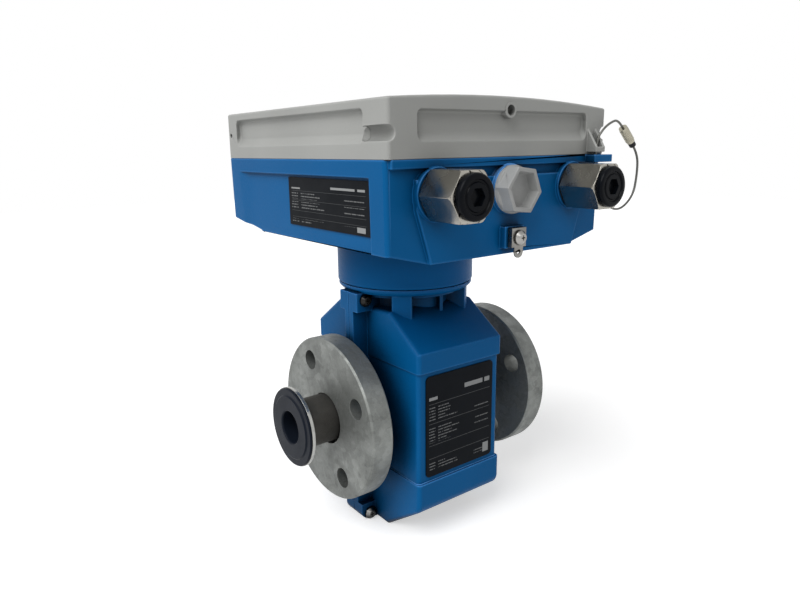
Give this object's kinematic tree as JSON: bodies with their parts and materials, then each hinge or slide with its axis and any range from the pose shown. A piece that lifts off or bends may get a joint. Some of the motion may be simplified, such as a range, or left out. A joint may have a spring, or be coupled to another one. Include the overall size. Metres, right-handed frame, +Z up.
{
  "type": "electromagnetic flow meter",
  "caption": "Flow meter with a lined measuring tube between loose flanges, a split coil housing and a box-shaped transmitter that turns on its neck.",
  "frame": {"origin": "middle of the measuring tube's axis, halfway between the sealing faces", "axes": "+X along the tube with the flow, -Y towards the cable entries, +Z up through the neck and transmitter"},
  "size_m": [0.2226, 0.2272, 0.2958],
  "materials": {
    "tube_steel": "matte brushed",
    "lining_black": "smooth",
    "collar_steel": "machined",
    "flange_zinc": "galvanised, mottled",
    "blue_paint": "satin powder coat",
    "lid_paint": "satin powder coat",
    "screw_steel": "bright",
    "core_iron": "bare",
    "coil_tape": "wound and taped",
    "plate_black": "matte",
    "seal_rubber": "matte",
    "window_glass": "clear",
    "module_grey": "matte",
    "display_black": "glossy",
    "terminal_green": "matte",
    "plug_grey": "satin",
    "gland_nickel": "nickel plated",
    "stop_black": "satin",
    "clamp_steel": "bright",
    "wire_steel": "stranded",
    "clasp_steel": "knurled",
    "clasp_dark": "matte"
  },
  "bodies": {
    "sensor": {"measuring_tube": "tube_steel", "tube_lining": "lining_black", "inlet_collar": "collar_steel", "outlet_collar": "collar_steel", "front_half_shell": "blue_paint", "rear_half_shell": "blue_paint", "clamp_screws": "screw_steel", "upper_pole": "core_iron", "lower_pole": "core_iron", "upper_coil": "coil_tape", "lower_coil": "coil_tape", "magnet_yoke": "core_iron", "front_electrode": "screw_steel", "rear_electrode": "screw_steel", "sensor_nameplate": "plate_black"},
    "inlet_flange": {"inlet_flange": "flange_zinc"},
    "outlet_flange": {"outlet_flange": "flange_zinc"},
    "transmitter": {"neck_ring": "blue_paint", "neck_seal": "seal_rubber", "transmitter_housing": "blue_paint", "housing_lid": "lid_paint", "lid_gasket": "seal_rubber", "lid_screws": "screw_steel", "display_window": "window_glass", "electronics_module": "module_grey", "display_module": "display_black", "terminal_strip": "terminal_green", "left_gland_seal": "seal_rubber", "left_gland_base": "gland_nickel", "left_gland_nut": "gland_nickel", "left_gland_stop": "stop_black", "right_gland_seal": "seal_rubber", "right_gland_base": "gland_nickel", "right_gland_nut": "gland_nickel", "right_gland_stop": "stop_black", "blanking_plug": "plug_grey", "earth_clamp": "clamp_steel", "earth_screw": "screw_steel", "transmitter_nameplate": "plate_black", "wire_loop": "wire_steel", "clasp_barrel": "clasp_steel", "clasp_nut": "clasp_dark"}
  },
  "joints": [
    {"name": "inlet_flange_slide", "type": "slide", "parent": "sensor", "child": "inlet_flange", "axis": [1, 0, 0], "range_m": [-0.0235, 0.0045]},
    {"name": "outlet_flange_turn", "type": "hinge", "parent": "sensor", "child": "outlet_flange", "pos_m": [0.08265, 0, -0.00085], "axis": [1, 0, 0], "continuous": true},
    {"name": "transmitter_turn", "type": "hinge", "parent": "sensor", "child": "transmitter", "pos_m": [0, 0, 0.0909], "axis": [0, 0, 1], "range_deg": [-90, 90]}
  ]
}
